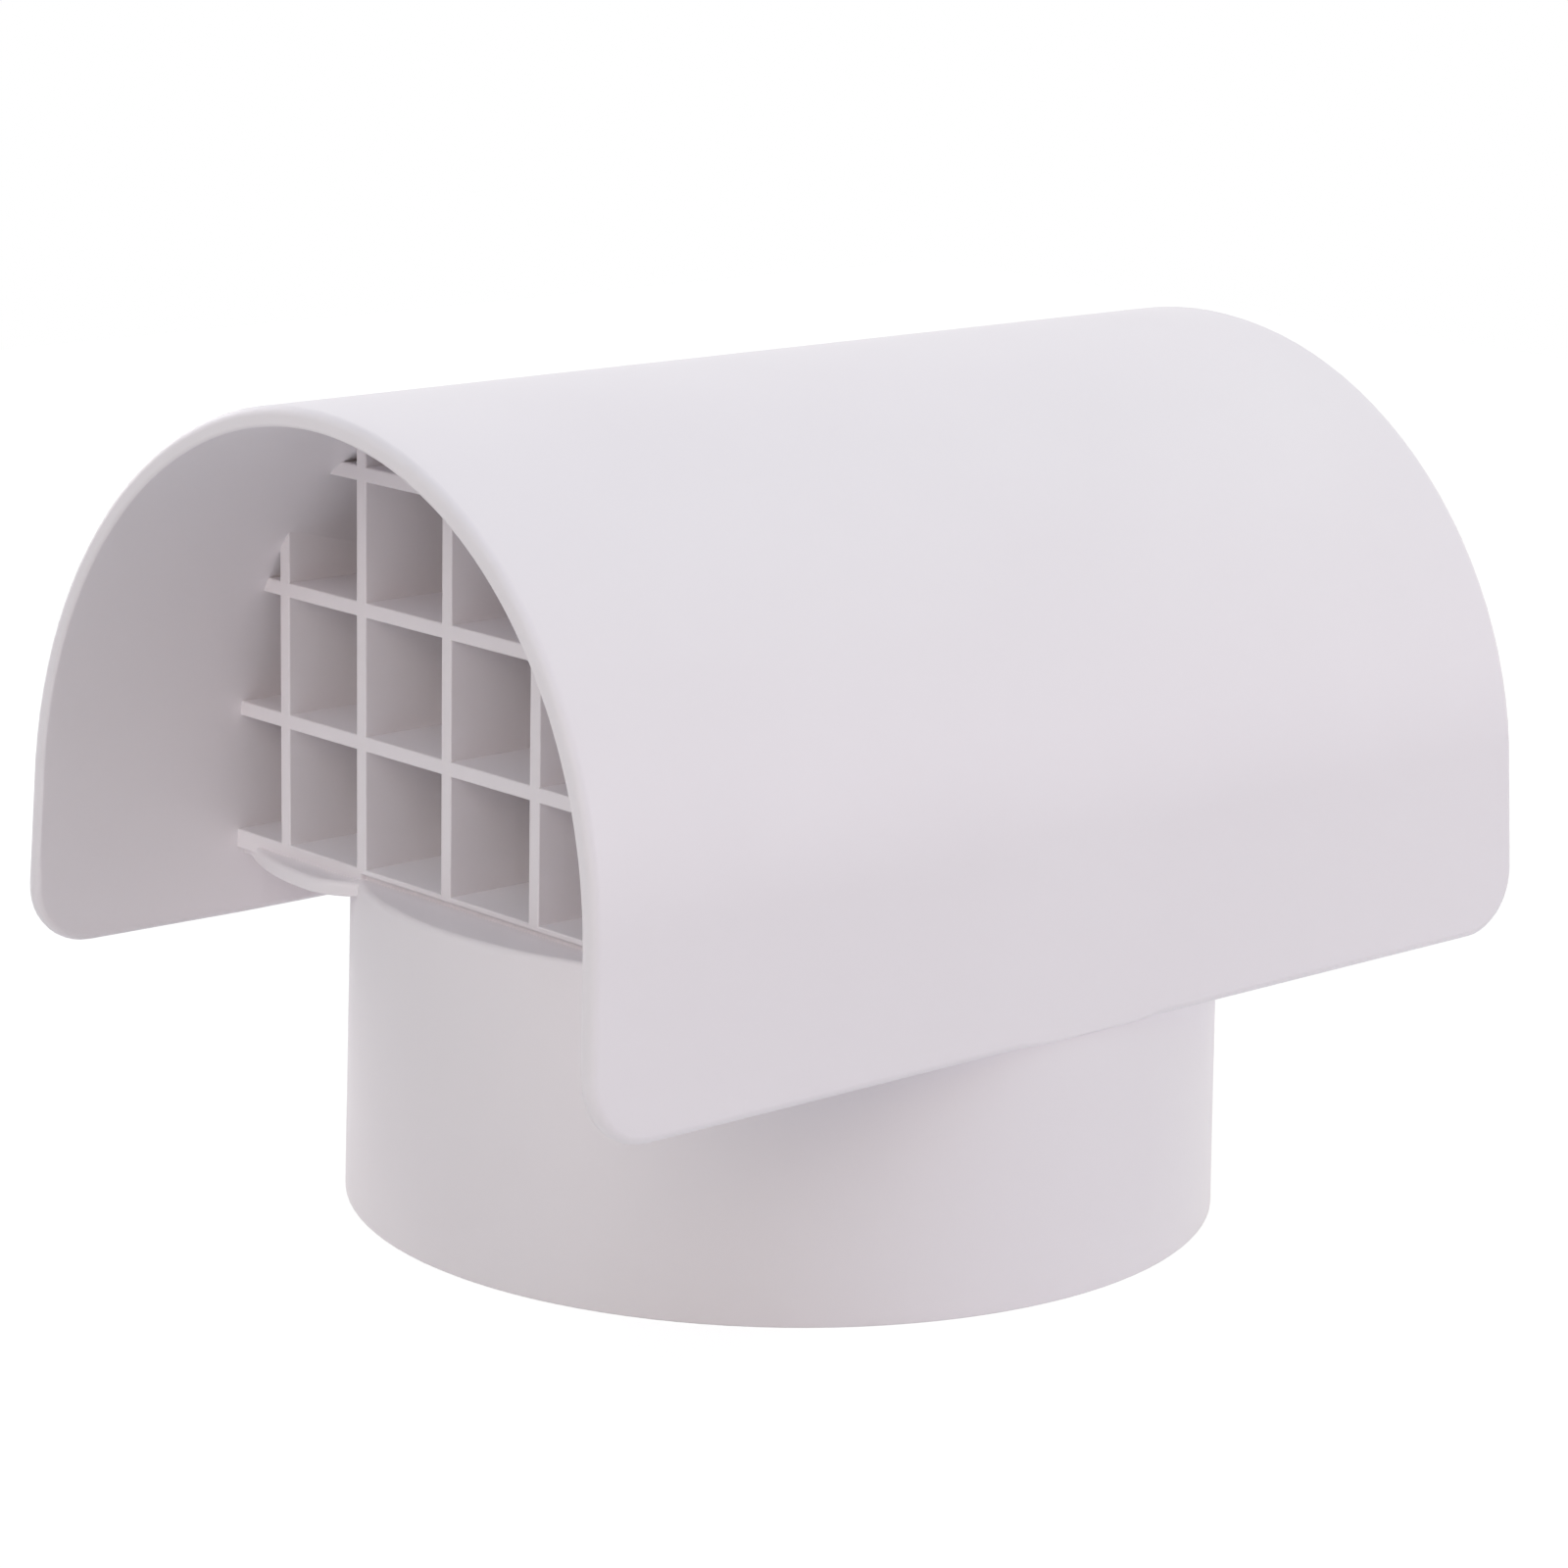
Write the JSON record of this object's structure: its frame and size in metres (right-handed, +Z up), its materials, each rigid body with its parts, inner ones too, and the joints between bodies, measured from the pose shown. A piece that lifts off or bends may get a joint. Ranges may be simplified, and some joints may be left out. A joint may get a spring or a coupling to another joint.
{
  "type": "exhaust vent cap",
  "caption": "Plastic exhaust vent cap: a barrel-vaulted hood open at both ends, with a recessed grille in each end, over a round socket that slips onto a vent pipe.",
  "frame": {"origin": "centre of the socket's mouth, on the plane that the cap stands on", "axes": "+Z up along the socket's axis, +Y along the hood from open end to open end, +X across the hood"},
  "size_m": [0.1164, 0.1628, 0.1121],
  "materials": {
    "moulding": "off-white moulded plastic with a fine satin surface, clean and unworn"
  },
  "bodies": {
    "root": {"vent_cap": "moulding"}
  },
  "joints": []
}
